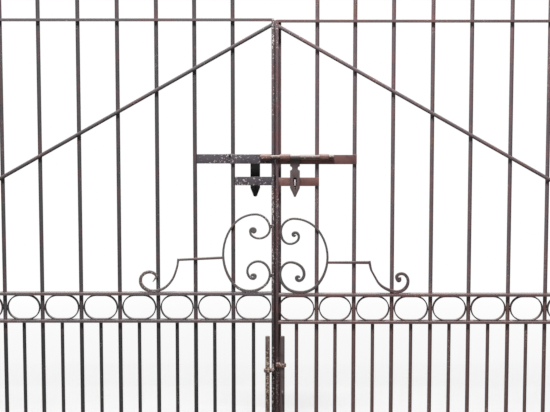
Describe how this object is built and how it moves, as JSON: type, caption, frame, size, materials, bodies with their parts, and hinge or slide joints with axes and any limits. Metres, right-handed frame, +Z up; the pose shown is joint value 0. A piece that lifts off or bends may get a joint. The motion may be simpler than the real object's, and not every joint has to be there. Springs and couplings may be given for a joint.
{
  "type": "double-leaf driveway gate",
  "caption": "Wrought iron double driveway gate with two posts, scrollwork, a band of rings, slide bolts with hasps and drop bolts.",
  "frame": {"origin": "on the ground, at the middle of the underside of the left post's foot plate", "axes": "+X along the closed gate to the right post, +Y away from the side with the drop bolts, +Z up"},
  "size_m": [3.244, 0.2, 2.032],
  "materials": {
    "left_leaf_paint": "old dark grey paint, dulled and brown where rust comes through",
    "right_leaf_paint": "old maroon-brown paint over rust, with pale worn flecks",
    "worn_iron": "paint rubbed off to pinkish brown rust and bare iron",
    "hasp_iron": "dark grey brown paint, rusty at the tip",
    "post_paint": "the same old dark paint as the leaves"
  },
  "bodies": {
    "root": {"left_post": "post_paint", "left_post_cap": "post_paint", "left_hinge_pins": "worn_iron", "right_post": "post_paint", "right_post_cap": "post_paint", "right_hinge_pins": "worn_iron"},
    "left_leaf": {"left_hinge_stile": "left_leaf_paint", "left_meeting_stile": "left_leaf_paint", "left_top_rail": "left_leaf_paint", "left_band_top_rail": "left_leaf_paint", "left_band_bottom_rail": "left_leaf_paint", "left_bottom_rail": "left_leaf_paint", "left_bars": "left_leaf_paint", "left_dog_bars": "left_leaf_paint", "left_band_rings": "left_leaf_paint", "left_brace": "left_leaf_paint", "left_big_scroll": "left_leaf_paint", "left_side_scroll": "left_leaf_paint", "left_latch_bars": "left_leaf_paint", "left_bolt_loops": "worn_iron", "left_drop_guides": "worn_iron", "left_hinge_eyes": "worn_iron"},
    "right_leaf": {"right_hinge_stile": "right_leaf_paint", "right_meeting_stile": "right_leaf_paint", "right_top_rail": "right_leaf_paint", "right_band_top_rail": "right_leaf_paint", "right_band_bottom_rail": "right_leaf_paint", "right_bottom_rail": "right_leaf_paint", "right_bars": "right_leaf_paint", "right_dog_bars": "right_leaf_paint", "right_band_rings": "right_leaf_paint", "right_brace": "right_leaf_paint", "right_big_scroll": "right_leaf_paint", "right_side_scroll": "right_leaf_paint", "right_latch_bars": "right_leaf_paint", "right_bolt_loops": "worn_iron", "right_drop_guides": "worn_iron", "right_hinge_eyes": "worn_iron", "closing_bar": "right_leaf_paint"},
    "front_bolt": {"front_bolt": "worn_iron"},
    "front_hasp": {"front_hasp": "hasp_iron"},
    "rear_bolt": {"rear_bolt": "worn_iron"},
    "rear_hasp": {"rear_hasp": "hasp_iron"},
    "left_drop_bolt": {"left_drop_bolt": "worn_iron"},
    "right_drop_bolt": {"right_drop_bolt": "worn_iron"}
  },
  "joints": [
    {"name": "left_leaf_swing", "type": "hinge", "parent": "root", "child": "left_leaf", "pos_m": [0.073, 0, 0.22], "axis": [0, 0, -1], "range_deg": [0, 90]},
    {"name": "right_leaf_swing", "type": "hinge", "parent": "root", "child": "right_leaf", "pos_m": [2.971, 0, 0.22], "axis": [0, 0, 1], "range_deg": [0, 90]},
    {"name": "front_bolt_slide", "type": "slide", "parent": "right_leaf", "child": "front_bolt", "axis": [1, 0, 0], "range_m": [0, 0.064]},
    {"name": "rear_bolt_slide", "type": "slide", "parent": "left_leaf", "child": "rear_bolt", "axis": [-1, 0, 0], "range_m": [0, 0.064]},
    {"name": "front_hasp_lift", "type": "hinge", "parent": "front_bolt", "child": "front_hasp", "pos_m": [1.602, -0.031, 1.155], "axis": [-1, 0, 0], "range_deg": [0, 160]},
    {"name": "rear_hasp_lift", "type": "hinge", "parent": "rear_bolt", "child": "rear_hasp", "pos_m": [1.442, 0.042, 1.151], "axis": [1, 0, 0], "range_deg": [0, 160]},
    {"name": "left_drop_bolt_lift", "type": "slide", "parent": "left_leaf", "child": "left_drop_bolt", "axis": [0, 0, 1], "range_m": [0, 0.065]},
    {"name": "right_drop_bolt_lift", "type": "slide", "parent": "right_leaf", "child": "right_drop_bolt", "axis": [0, 0, 1], "range_m": [0, 0.065]}
  ],
  "couplings": [
    {"joint": "front_hasp_lift", "follows": "front_bolt_slide", "rad_per_m": 43.633},
    {"joint": "rear_hasp_lift", "follows": "rear_bolt_slide", "rad_per_m": 43.633}
  ]
}
